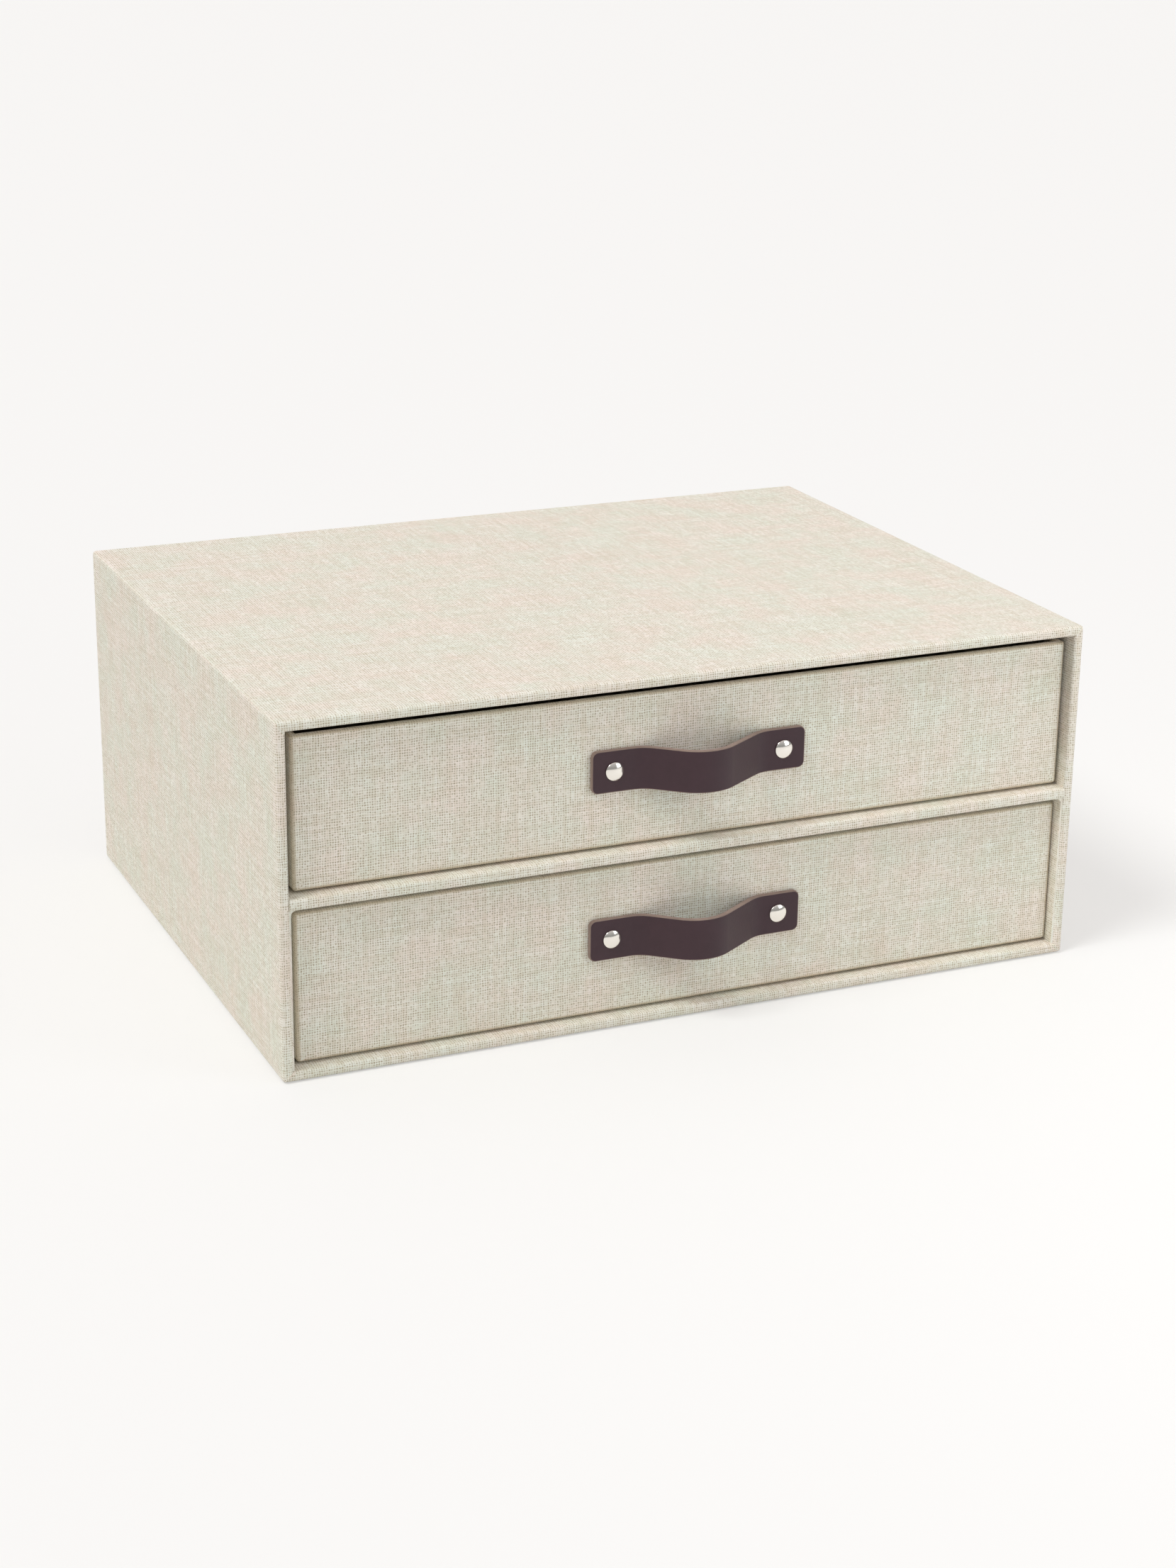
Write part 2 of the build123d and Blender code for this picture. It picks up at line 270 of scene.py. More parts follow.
def thread_gaps(tree, cells, axis):
    """1 in the gaps between one set of threads, falling to 0 on the crown of each thread."""
    across = add_node(tree, "ShaderNodeSeparateXYZ", {0: cells}).outputs[axis]
    angle = add_node(tree, "ShaderNodeMath", {0: across, 1: math.tau}, operation="MULTIPLY")
    wave = add_node(tree, "ShaderNodeMath", {0: angle.outputs[0]}, operation="COSINE")
    return add_node(tree, "ShaderNodeMath", {0: wave.outputs[0], 1: 0.5, 2: 0.5},
                    operation="MULTIPLY_ADD").outputs[0]


def slubs(tree, flat_cloth, stretch):
    """Soft streaks along one set of threads; stretch gives the streaks' size on each axis."""
    scaled = add_node(tree, "ShaderNodeVectorMath",
                      {0: flat_cloth, 1: [1 / s for s in stretch] + [0]}, operation="MULTIPLY")
    return add_node(tree, "ShaderNodeTexNoise",
                    {"Vector": scaled.outputs[0], "Scale": 1.0, "Detail": 2.0},
                    noise_dimensions="2D").outputs[0]


def linen_book_cloth():
    """Plain-woven linen, filled with starch: matt, warm and slightly rough to the eye."""
    material, tree = new_material("linen_book_cloth")
    flat_cloth = add_node(tree, "ShaderNodeUVMap", uv_map="cloth").outputs[0]

    # Threads that wander, then a grid that counts them. The noise's finer layers are smaller
    # than a thread, so they also make each hole a different shape.
    drift = add_node(tree, "ShaderNodeTexNoise",
                     {"Vector": flat_cloth, "Scale": 1 / wander_length, "Detail": 4.0,
                      "Roughness": 0.62},
                     noise_dimensions="2D")
    sway = add_node(tree, "ShaderNodeVectorMath",
                    {0: drift.outputs["Color"], 1: (0.5, 0.5, 0.5)}, operation="SUBTRACT")
    threads = add_node(tree, "ShaderNodeVectorMath",
                       {0: sway.outputs[0], 1: (thread_wander, thread_wander, 0), 2: flat_cloth},
                       operation="MULTIPLY_ADD")
    cells = add_node(tree, "ShaderNodeVectorMath",
                     {0: threads.outputs[0], "Scale": 1 / thread_pitch},
                     operation="SCALE").outputs[0]
    warp_gaps = thread_gaps(tree, cells, axis=0)
    weft_gaps = thread_gaps(tree, cells, axis=1)
    crossed = add_node(tree, "ShaderNodeMath", {0: warp_gaps, 1: weft_gaps},
                       operation="MULTIPLY")
    holes = add_node(tree, "ShaderNodeMapRange",
                     {"Value": crossed.outputs[0], "From Min": 0.05, "From Max": 1.0},
                     interpolation_type="SMOOTHSTEP")

    # Over one, under one: by turns a warp and a weft thread lies on top, and each dives at
    # both ends of its stitch.
    on_top = add_node(tree, "ShaderNodeTexChecker", {"Vector": cells, "Scale": 1.0})
    dives = add_node(tree, "ShaderNodeMix",
                     {0: on_top.outputs["Fac"], 2: warp_gaps, 3: weft_gaps}, data_type="FLOAT")
    dips = add_node(tree, "ShaderNodeMapRange",
                    {"Value": dives.outputs[0], "From Min": 0.35, "From Max": 1.0})

    # How open each hole stayed: its own luck, and how well that area was filled.
    centred = add_node(tree, "ShaderNodeVectorMath", {0: cells, 1: (0.5, 0.5, 0.0)},
                       operation="ADD")
    cell_number = add_node(tree, "ShaderNodeVectorMath", {0: centred.outputs[0]},
                           operation="FLOOR")
    luck = add_node(tree, "ShaderNodeTexWhiteNoise", {"Vector": cell_number.outputs[0]},
                    noise_dimensions="2D")
    filling = add_node(tree, "ShaderNodeTexNoise",
                       {"Vector": flat_cloth, "Scale": 1 / cluster_size, "Detail": 3.0,
                        "Roughness": 0.65},
                       noise_dimensions="2D")
    openness = add_node(tree, "ShaderNodeMath",
                        {0: filling.outputs[0], 1: filling_share, 2: luck.outputs["Value"]},
                        operation="MULTIPLY_ADD")
    open_share = add_node(tree, "ShaderNodeMapRange",
                          {"Value": openness.outputs[0], "From Min": 0.3, "From Max": 1.3,
                           "To Min": 0.15, "To Max": 0.9})
    # Holes and dives together. In the colour the holes are the starch showing through, the dives are
    # painted shade.
    hollow = add_node(tree, "ShaderNodeMath",
                      {0: dips.outputs[0], 1: dip_share, 2: holes.outputs[0]},
                      operation="MULTIPLY_ADD")
    pits = add_node(tree, "ShaderNodeMath", {0: hollow.outputs[0], 1: open_share.outputs[0]},
                    operation="MULTIPLY", use_clamp=True)

    # Thick and thin threads both ways, as a factor around 1 on the cloth's brightness. A thin
    # thread lets the brown starch through, so its blue falls further than its red.
    warp = slubs(tree, flat_cloth, (slub_width, slub_length))
    weft = slubs(tree, flat_cloth, (slub_length, slub_width))
    both = add_node(tree, "ShaderNodeMath", {0: warp, 1: weft}, operation="ADD")
    brightness = add_node(tree, "ShaderNodeMapRange",
                          {"Value": both.outputs[0], "From Min": 0.7, "From Max": 1.3,
                           "To Min": 1 - thread_contrast, "To Max": 1 + thread_contrast})

    # The flax's own colour, drifting between two beiges, times the brightness of its threads.
    # Noise keeps near its middle, so the range is narrow and reaches both beiges.
    patches = add_node(tree, "ShaderNodeTexNoise",
                       {"Vector": flat_cloth, "Scale": 1 / patch_size, "Detail": 4.0,
                        "Roughness": 0.6},
                       noise_dimensions="2D")
    hue = add_node(tree, "ShaderNodeMapRange",
                   {"Value": patches.outputs[0], "From Min": 0.34, "From Max": 0.66})
    flax = add_node(tree, "ShaderNodeMix",
                    {0: hue.outputs[0], MIX_A: pinkish_flax, MIX_B: greenish_flax},
                    data_type="RGBA")
    tint = add_node(tree, "ShaderNodeVectorMath",
                    {0: brightness.outputs[0], 1: starch_tint,
                     2: Vector((1, 1, 1)) - starch_tint},
                    operation="MULTIPLY_ADD")
    thread = add_node(tree, "ShaderNodeVectorMath",
                      {0: flax.outputs[MIX_RESULT], 1: tint.outputs[0]}, operation="MULTIPLY")

    # Round a drawer's arrises a warm tan is painted in as shade, the brown shade of the gaps beside
    # them.
    # The brown of the pits comes last, over both: the starch in the holes, and painted shade where a
    # thread dives under its neighbour.
    arris = add_node(tree, "ShaderNodeAttribute", attribute_name="arris")
    arris_shade = add_node(tree, "ShaderNodeMath", {0: arris.outputs["Fac"], 1: arris_shade_share},
                    operation="MULTIPLY")
    arris_shaded = add_node(tree, "ShaderNodeMix",
                       {0: arris_shade.outputs[0], MIX_A: thread.outputs[0], MIX_B: arris_shaded_tan},
                       data_type="RGBA")
    cloth = add_node(tree, "ShaderNodeMix",
                     {0: pits.outputs[0], MIX_A: arris_shaded.outputs[MIX_RESULT], MIX_B: pit_brown},
                     data_type="RGBA")

    # The relief is a tenth of a millimetre: pits go down, thick threads stand up.
    relief = add_node(tree, "ShaderNodeMath",
                      {0: hollow.outputs[0], 1: -0.7, 2: brightness.outputs[0]},
                      operation="MULTIPLY_ADD")
    bump = add_node(tree, "ShaderNodeBump",
                    {"Height": relief.outputs[0], "Strength": 0.9, "Distance": relief_depth})
    surface = add_node(tree, "ShaderNodeBsdfPrincipled", {
        "Base Color": cloth.outputs[MIX_RESULT],
        "Roughness": 0.85,
        "Specular IOR Level": 0.2,
        "Sheen Weight": 0.1,
        "Sheen Roughness": 0.4,
        "Sheen Tint": colour("FFF0E8"),
        "Normal": bump.outputs[0],
    })
    finish_material(tree, surface.outputs[0])
    return material


linen = linen_book_cloth()
print("linen: a thread every", thread_pitch / MM, "mm,", len(linen.node_tree.nodes), "nodes")

# %% [markdown]
# ## Lining paper, greyboard, leather and nickel
#
# The other finishes are quieter. The lining is a cream paper with short fibres, and the greyboard
# is pressed waste paper, grey with dark and pale specks; the cloth hides nearly all of it. The
# straps are split cowhide, pigmented dark brown on a smooth pressed face, so the face has a satin
# sheen and a fine pebble, and the cut edges show the paler, drier fibre. The rivets are brass
# plated with nickel and tumbled bright: a mirror with a breath of yellow.

# %% Paper and board materials
def specked_sheet(name, ground, speck, speck_size, speck_share, roughness):
    """A sheet of pressed fibre: a ground colour, specks of another and a faint tooth."""
    material, tree = new_material(name)
    place = add_node(tree, "ShaderNodeTexCoord").outputs["Object"]
    fibres = add_node(tree, "ShaderNodeTexNoise",
                      {"Vector": place, "Scale": 1 / speck_size, "Detail": 3.0})
    specks = add_node(tree, "ShaderNodeMapRange",
                      {"Value": fibres.outputs[0], "From Min": 1 - speck_share, "From Max": 0.75})
    mixed = add_node(tree, "ShaderNodeMix",
                     {0: specks.outputs[0], MIX_A: colour(ground), MIX_B: colour(speck)},
                     data_type="RGBA")
    tooth = add_node(tree, "ShaderNodeBump",
                     {"Height": fibres.outputs[0], "Strength": 0.3, "Distance": 0.05 * MM})
    surface = add_node(tree, "ShaderNodeBsdfPrincipled", {
        "Base Color": mixed.outputs[MIX_RESULT],
        "Roughness": roughness,
        "Specular IOR Level": 0.25,
        "Normal": tooth.outputs[0],
    })
    finish_material(tree, surface.outputs[0])
    return material


lining_paper = specked_sheet("cream_lining_paper", "E2D9C8", "CDBFA6", 0.9 * MM, 0.5, 0.85)
greyboard = specked_sheet("grey_bookbinding_board", "A39B90", "6E665D", 0.6 * MM, 0.55, 0.9)
print("sheets:", lining_paper.name, greyboard.name)

# %% Leather materials
pebble_size = 0.55 * MM
hide_patch_size = 9 * MM
gloss_drift = 0.06


def leather(name, dark, light, roughness, pebble_depth, sheen):
    """Cowhide: two close browns that drift, and a pebble pressed into the surface."""
    material, tree = new_material(name)
    place = add_node(tree, "ShaderNodeTexCoord").outputs["Object"]
    patches = add_node(tree, "ShaderNodeTexNoise",
                       {"Vector": place, "Scale": 1 / hide_patch_size, "Detail": 5.0,
                        "Roughness": 0.65})
    mixed = add_node(tree, "ShaderNodeMix",
                     {0: patches.outputs[0], MIX_A: colour(dark), MIX_B: colour(light)},
                     data_type="RGBA")
    pebbles = add_node(tree, "ShaderNodeTexVoronoi",
                       {"Vector": place, "Scale": 1 / pebble_size}, feature="SMOOTH_F1")
    gloss = add_node(tree, "ShaderNodeMapRange",
                     {"Value": patches.outputs[0], "To Min": roughness - gloss_drift,
                      "To Max": roughness + gloss_drift})
    bump = add_node(tree, "ShaderNodeBump",
                    {"Height": pebbles.outputs["Distance"], "Strength": 0.5,
                     "Distance": pebble_depth})
    surface = add_node(tree, "ShaderNodeBsdfPrincipled", {
        "Base Color": mixed.outputs[MIX_RESULT],
        "Roughness": gloss.outputs[0],
        "Specular IOR Level": 0.35,
        "Sheen Weight": sheen,
        "Sheen Tint": colour("F2DCD6"),
        "Normal": bump.outputs[0],
    })
    finish_material(tree, surface.outputs[0])
    return material


leather_face = leather("pigmented_cowhide_face", "39262B", "473138", 0.45, 0.04 * MM, 0.0)
leather_edge = leather("raw_cowhide_edge", "6F5C54", "A08C80", 0.8, 0.10 * MM, 0.3)
print("leather:", leather_face.name, leather_edge.name)

# %% Nickel material
cloud_size = 1.5 * MM


def nickel_plate():
    """Polished plating, clouded a little by handling."""
    material, tree = new_material("tumbled_nickel_plate")
    place = add_node(tree, "ShaderNodeTexCoord").outputs["Object"]
    clouds = add_node(tree, "ShaderNodeTexNoise",
                      {"Vector": place, "Scale": 1 / cloud_size, "Detail": 3.0})
    gloss = add_node(tree, "ShaderNodeMapRange",
                     {"Value": clouds.outputs[0], "To Min": 0.08, "To Max": 0.2})
    surface = add_node(tree, "ShaderNodeBsdfPrincipled", {
        "Base Color": colour("EFEAE2"),
        "Metallic": 1.0,
        "Roughness": gloss.outputs[0],
    })
    finish_material(tree, surface.outputs[0])
    return material


nickel = nickel_plate()
print("metal:", nickel.name)

# %% [markdown]
# ## From a bmesh to a piece
#
# Every new piece ends the same way: its bmesh becomes an object at the origin, it rides on a body,
# it takes the place of the plain solids it stands for, and it takes its finishes. Cloth
# gets a real thickness from a Solidify modifier. Smooth shading alone would bend the light across
# the large flat faces, so a Weighted Normal modifier keeps those flat and rounds only the arrises.

# %% Helper that finishes a piece
cloth_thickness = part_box("case_left_board")[0].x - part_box("case_cover")[0].x
sharp_turn = math.radians(50)
# Each piece is cut from its own place along the bolt of cloth, in metres.
cut_from = {"case": 0.0, "back_panel": 3.0, "shelf": 5.0, "upper_drawer": 7.0,
            "lower_drawer": 11.0}


def make_piece(name, bm, materials, body, nodes):
    """Turn a bmesh into an object that rides on a body and stands for CAD nodes."""
    data = bpy.data.meshes.new(name)
    bm.to_mesh(data)
    bm.free()
    data.shade_smooth()
    for material in materials:
        data.materials.append(material)
    piece = bpy.data.objects.new(name, data)
    bpy.context.scene.collection.objects.link(piece)
    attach(piece, body)
    if nodes:
        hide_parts(*nodes)
    return piece


def thicken(piece, thickness, offset=-1.0):
    """Give a sheet its real thickness, inwards unless told otherwise."""
    solidify = piece.modifiers.new("thickness", "SOLIDIFY")
    solidify.thickness = thickness
    solidify.offset = offset
    solidify.use_even_offset = True
    return solidify


def keep_flats_flat(piece):
    """Shade the large faces flat and only the arrises round."""
    weights = piece.modifiers.new("flat_faces", "WEIGHTED_NORMAL")
    weights.mode = "FACE_AREA"
    weights.weight = 100
    weights.keep_sharp = True


print("cloth is", round(cloth_thickness / MM, 2), "mm thick")

# %% [markdown]
# ## A box wrapped in cloth
#
# The case and both drawers are wrapped alike. The cloth runs round four walls, turns in over their
# rims and folds over again at the far end. So one function wraps all three. It works in a frame of
# its own, with the mouth on top, as a drawer stands. For the case the box is then tipped over until
# its mouth faces the front.
#
# A cube gives the walls. Insetting its top makes the rim, already mitred at the corners as a
# bookbinder cuts it, and extruding down makes the turn-in. The arrises are bevelled last. The UV
# map then unrolls the cloth: along a wall one axis follows the girth and the other the height, and
# over the rim the second axis simply runs on, so the grid of threads meets itself at every fold.

# %% The wrapping function
NEAR = 0.01 * MM
UPRIGHT = 0.1       # a face whose normal rises or falls by less than this stands upright


def ends_lie(edge, axis, place):
    """Whether both ends of an edge lie at a place on an axis."""
    return all(abs(vert.co[axis] - place) < NEAR for vert in edge.verts)


def level_faces(bm, height):
    """The faces that lie level at a height."""
    return [f for f in bm.faces if all(abs(v.co.z - height) < NEAR for v in f.verts)]


def round_edges(bm, edges, radius):
    """Round edges off with a true arc."""
    bmesh.ops.bevel(bm, geom=edges, offset=radius, offset_type="OFFSET", segments=4,
                    profile=0.5, affect="EDGES", clamp_overlap=True, material=-1)


def unroll_wrap(bm, low, high, wall, shift):
    """Lay the wrapped cloth out flat, in metres, as the UV map."""
    layer = bm.loops.layers.uv.new("cloth")
    half = (high - low) / 2
    middle = (high + low) / 2
    # For each wall (axis, side): which way it runs round the box, and the girth at its middle.
    girth = {(1, -1): (1, 0.0), (0, 1): (1, half.x + half.y),
             (1, 1): (-1, 2 * (half.x + half.y)), (0, -1): (-1, -half.x - half.y)}
    for face in bm.faces:
        centre = face.calc_center_median() - middle
        axis, side = max(girth, key=lambda w: w[1] * centre[w[0]] - half[w[0]])
        outside = half[axis] - side * centre[axis] < wall / 2
        turns, start = girth[axis, side]
        for loop in face.loops:
            point = loop.vert.co - middle
            inward = half[axis] - side * point[axis]
            along = point[1 - axis]
            if outside and abs(face.normal.z) < UPRIGHT:
                along += math.copysign(inward, along)
            if centre.z < 0:
                height = point.z - inward
            elif outside:
                height = point.z + inward
            else:
                height = 2 * half.z - point.z + inward
            loop[layer].uv = (start + turns * along + shift, height)


def wrapped_box(low, high, wall, turn_in, far_turn_in, round_wall, round_rim, round_mouth, shift):
    """Cloth round a box: mouth on top, turned in there and folded over at the bottom."""
    bm = bmesh.new()
    bmesh.ops.create_cube(bm, size=1.0)
    bmesh.ops.scale(bm, vec=high - low, verts=bm.verts)
    bmesh.ops.translate(bm, vec=(low + high) / 2, verts=bm.verts)

    foot = level_faces(bm, low.z)
    bmesh.ops.inset_region(bm, faces=foot, thickness=far_turn_in, use_even_offset=True)
    bmesh.ops.delete(bm, geom=foot, context="FACES")

    rim = level_faces(bm, high.z)
    bmesh.ops.inset_region(bm, faces=rim, thickness=wall, use_even_offset=True)
    mouth = list(rim[0].edges)
    bmesh.ops.delete(bm, geom=rim, context="FACES_ONLY")
    tube = bmesh.ops.extrude_edge_only(bm, edges=mouth)["geom"]
    deep = [g for g in tube if isinstance(g, bmesh.types.BMVert)]
    bmesh.ops.translate(bm, vec=(0, 0, -turn_in), verts=deep)
    round_edges(bm, mouth, round_mouth)

    # The outer arrises lie at two of the box's limits at once.
    limits = [(axis, corner[axis]) for axis in range(3) for corner in (low, high)]
    arrises = [e for e in bm.edges if sum(ends_lie(e, *limit) for limit in limits) == 2]
    rim_arrises = [e for e in arrises if ends_lie(e, 2, high.z)]
    if round_wall == round_rim:
        round_edges(bm, arrises, round_wall)
    else:
        # The walls' arrises change the rim's outline, so its edges are looked up again: they
        # border an upright face that reaches further down than the turn-in does.
        round_edges(bm, [e for e in arrises if e not in rim_arrises], round_wall)
        outline = [e for e in bm.edges if ends_lie(e, 2, high.z) and any(
            abs(f.normal.z) < UPRIGHT and min(v.co.z for v in f.verts) < high.z - turn_in * 1.5
            for f in e.link_faces)]
        round_edges(bm, outline, round_rim)
    bmesh.ops.recalc_face_normals(bm, faces=bm.faces)
    unroll_wrap(bm, low, high, wall, shift)
    return bm


print("wrapping function is ready")

# %% [markdown]
# ## The case's cloth
#
# The case lies with its mouth to the front. So its box is stood on its back for the wrapping
# function and tipped forward again by a quarter turn about X.

# %% Case cloth
case_round = 1.5 * MM
case_mouth_round = 1.2 * MM
case_fold_over = 15 * MM

case_low, case_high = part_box("case_cover")
case_wall = 2 * cloth_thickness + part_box("case_left_board")[1].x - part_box("case_left_board")[0].x
case_turn_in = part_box("case_wall_lining")[0].y - case_low.y

tip_forward = Matrix.Rotation(math.radians(90), 4, "X")
stood_a, stood_b = (tip_forward.inverted() @ corner for corner in (case_low, case_high))
bm = wrapped_box(
    low=Vector(map(min, stood_a, stood_b)),
    high=Vector(map(max, stood_a, stood_b)),
    wall=case_wall,
    turn_in=case_turn_in,
    far_turn_in=case_fold_over,
    round_wall=case_round,
    round_rim=case_round,
    round_mouth=case_mouth_round,
    shift=cut_from["case"],
)
bmesh.ops.transform(bm, matrix=tip_forward, verts=bm.verts)
case_cloth = make_piece("case_cloth", bm, [linen], "case", ["case_cover"])
thicken(case_cloth, cloth_thickness)
keep_flats_flat(case_cloth)
print("case cloth:", len(case_cloth.data.polygons), "faces, wall", round(case_wall / MM, 2), "mm")

# %% [markdown]
# ## The panel on the back
#
# The folded edges on the back are covered by one more panel of cloth. Rubbed down while the glue
# is wet, it dips by a cloth's thickness where the turn-ins end, and that faint frame shows on every
# cloth-covered box. One face, inset twice, is the whole panel: the second inset makes the dip.

# %% Back panel
panel_dip_width = 1.0 * MM
panel_low, panel_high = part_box("case_back_cover")

bm = bmesh.new()
bmesh.ops.create_grid(bm, x_segments=1, y_segments=1, size=0.5)
bmesh.ops.rotate(bm, matrix=Matrix.Rotation(math.radians(-90), 3, "X"), verts=bm.verts)
bmesh.ops.scale(bm, vec=panel_high - panel_low, verts=bm.verts)
bmesh.ops.translate(bm, vec=(panel_low + panel_high) / 2, verts=bm.verts)
for vert in bm.verts:
    vert.co.y = panel_high.y
panel_margin = panel_low.x - case_low.x
middle_face = list(bm.faces)
for width in (case_fold_over - panel_margin, panel_dip_width):
    bmesh.ops.inset_region(bm, faces=middle_face, thickness=width, use_even_offset=True,
                           use_boundary=True)
dipped = {vert for face in middle_face for vert in face.verts}
bmesh.ops.translate(bm, vec=(0, -cloth_thickness, 0), verts=list(dipped))
bmesh.ops.recalc_face_normals(bm, faces=bm.faces)
if middle_face[0].normal.y < 0:
    bmesh.ops.reverse_faces(bm, faces=bm.faces)
layer = bm.loops.layers.uv.new("cloth")
for face in bm.faces:
    for loop in face.loops:
        loop[layer].uv = (loop.vert.co.x + cut_from["back_panel"], loop.vert.co.z)
back_panel = make_piece("back_panel", bm, [linen], "case", ["case_back_cover"])
thicken(back_panel, cloth_thickness)
keep_flats_flat(back_panel)
print("back panel:", len(back_panel.data.polygons), "faces,",
      [round(c / MM, 1) for c in panel_high - panel_low], "mm")

# %% [markdown]
# ## The shelf's cloth
#
# The shelf is a covered board whose cloth runs on down both side walls of the lower bay, so from
# the front it reads as a sleeve pushed in after the case was made. The slab is a cube with its two
# front arrises rounded. Each hanging leg starts as the outline of its section, a thin strip that
# flares into the slab through a rounded corner, and is then drawn back to the rear wall.

# %% Shelf cloth
nose_round = 1.2 * MM
leg_thickness = 0.7 * MM
leg_setback = 1.0 * MM
sleeve_round = 2.0 * MM

shelf_low, shelf_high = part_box("shelf_cover")
slab_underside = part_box("shelf_board")[0].z - cloth_thickness

bm = bmesh.new()
bmesh.ops.create_cube(bm, size=1.0)
slab_low = Vector((shelf_low.x, shelf_low.y, slab_underside))
bmesh.ops.scale(bm, vec=shelf_high - slab_low, verts=bm.verts)
bmesh.ops.translate(bm, vec=(shelf_high + slab_low) / 2, verts=bm.verts)
nose = [e for e in bm.edges if ends_lie(e, 1, shelf_low.y) and not (
    ends_lie(e, 0, shelf_low.x) or ends_lie(e, 0, shelf_high.x))]
round_edges(bm, nose, nose_round)

for side, wall_x in ((1, shelf_low.x), (-1, shelf_high.x)):
    flare = leg_thickness + sleeve_round
    section = [(0, shelf_low.z), (leg_thickness, shelf_low.z),
               (leg_thickness, slab_underside), (flare, slab_underside),
               (flare, slab_underside + cloth_thickness), (0, slab_underside + cloth_thickness)]
    corners = [bm.verts.new((wall_x + side * x, shelf_low.y + leg_setback, z))
               for x, z in section]
    bm.faces.new(corners)
    inner_corner = corners[2]
    bmesh.ops.bevel(bm, geom=[inner_corner], offset=sleeve_round - NEAR, offset_type="OFFSET",
                    segments=4, profile=0.5, affect="VERTICES", clamp_overlap=True, material=-1)
    outline = [f for f in bm.faces if abs(f.calc_center_median().y - shelf_low.y
               - leg_setback) < NEAR and abs(f.calc_center_median().x - wall_x) < flare]
    drawn = bmesh.ops.extrude_face_region(bm, geom=outline)["geom"]
    rear = [g for g in drawn if isinstance(g, bmesh.types.BMVert)]
    depth = shelf_high.y - shelf_low.y - leg_setback
    bmesh.ops.translate(bm, vec=(0, depth, 0), verts=rear)
bmesh.ops.recalc_face_normals(bm, faces=bm.faces)

layer = bm.loops.layers.uv.new("cloth")
for face in bm.faces:
    under = face.normal.z < -UPRIGHT
    leg = face.calc_center_median().z < slab_underside - NEAR
    for loop in face.loops:
        x, y, z = loop.vert.co
        if leg:
            loop[layer].uv = (x + math.copysign(slab_underside - z, x), y)
        elif under:
            loop[layer].uv = (x, 2 * shelf_low.y - shelf_high.z - y + z)
        else:
            loop[layer].uv = (x, y + z - shelf_high.z)
        loop[layer].uv += Vector((cut_from["shelf"], 0.0))
shelf_cloth = make_piece("shelf_cloth", bm, [linen], "case", ["shelf_cover"])
shelf_cloth.data.set_sharp_from_angle(angle=sharp_turn)
keep_flats_flat(shelf_cloth)
print("shelf cloth:", round((shelf_high.z - slab_underside) / MM, 2), "mm thick at the nose")

# %% [markdown]
# ## The drawers' cloth
#
# A drawer stands mouth up already, so the wrapping function's frame is the drawer's own. The
# inner rows of points on each rounded arris carry a 1, by which the linen paints a warm tan shade
# there, and every point of a flat face carries a 0.

# %% Drawer cloths
drawer_round = 1.6 * MM
drawer_rim_round = 1.2 * MM
drawer_fold_over = 15 * MM
square_on = 0.999           # a flat face's normal lies along one axis
drawers = ("upper_drawer", "lower_drawer")

for drawer in drawers:
    low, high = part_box(f"{drawer}_cover")
    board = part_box(f"{drawer}_left_board")
    bm = wrapped_box(
        low=low,
        high=high,
        wall=board[1].x - board[0].x + 2 * cloth_thickness,
        turn_in=high.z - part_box(f"{drawer}_lining")[1].z,
        far_turn_in=drawer_fold_over,
        round_wall=drawer_round,
        round_rim=drawer_rim_round,
        round_mouth=drawer_rim_round,
        shift=cut_from[drawer],
    )
    arris = bm.verts.layers.float.new("arris")
    # Points on a rounded arris get the painted tan shade; flat faces get none.
    for vert in bm.verts:
        on_flat = any(max(map(abs, face.normal)) > square_on for face in vert.link_faces)
        vert[arris] = 0.0 if on_flat else 1.0
    cloth = make_piece(f"{drawer}_cloth", bm, [linen], drawer, [f"{drawer}_cover"])
    thicken(cloth, cloth_thickness)
    keep_flats_flat(cloth)
    print(cloth.name, [round(c / MM, 1) for c in high - low], "mm,", len(cloth.data.polygons))

# %% [markdown]
# ## Folds at the corners
#
# A bookbinder can't bend cloth round a corner without a fold. At the case's mouth the two bands
# meet in a mitre, where one band's cut edge lies on the other. At the lower corners of each drawer
# front the cloth is pleated and shows a short crease. Each fold stands up by less than a layer of
# cloth, but it catches the light. Its cross-section is a wedge, and that triangle is simply drawn
# along the surface from point to point.

# %% Corner folds
fold_width = 1.8 * MM
fold_foot = 0.3             # how far a fold's foot is sunk, as a share of its height
fold_turn = math.radians(40)


def draw_fold(bm, points, outward, aside, height):
    """A wedge-shaped fold along the points: steep on one side, flush on the other."""
    foot = -fold_foot * height * outward
    wedge = (foot, height * outward, aside.normalized() * fold_width + foot)
    ring = [bm.verts.new(points[0] + offset) for offset in wedge]
    edges = [bm.edges.new((ring[i - 1], ring[i])) for i in range(3)]
    for start, end in zip(points, points[1:]):
        drawn = bmesh.ops.extrude_edge_only(bm, edges=edges)["geom"]
        ring = [g for g in drawn if isinstance(g, bmesh.types.BMVert)]
        bmesh.ops.translate(bm, vec=end - start, verts=ring)
        edges = [g for g in drawn if isinstance(g, bmesh.types.BMEdge)
                 and all(vert in ring for vert in g.verts)]


def folded_cloth(name, bm, body):
    """Close the folds' ends, lay their cloth out flat and make them a piece."""
    bmesh.ops.holes_fill(bm, edges=bm.edges, sides=0)
    bmesh.ops.recalc_face_normals(bm, faces=bm.faces)
    layer = bm.loops.layers.uv.new("cloth")
    for face in bm.faces:
        for loop in face.loops:
            loop[layer].uv = (loop.vert.co.x, loop.vert.co.z)
    piece = make_piece(name, bm, [linen], body, [])
    piece.data.set_sharp_from_angle(angle=fold_turn)
    return piece


def depth_of_mouth(reach):
    """How far the mouth's mitre lies behind its flat front, at a distance from the edges."""
    outer = max(0.0, case_round - reach)
    inner = max(0.0, reach - (case_wall - case_mouth_round))
    return (case_round - math.sqrt(case_round ** 2 - 2 * outer ** 2)
            + case_mouth_round - math.sqrt(case_mouth_round ** 2 - inner ** 2))


to_front = Vector((0, -1, 0))
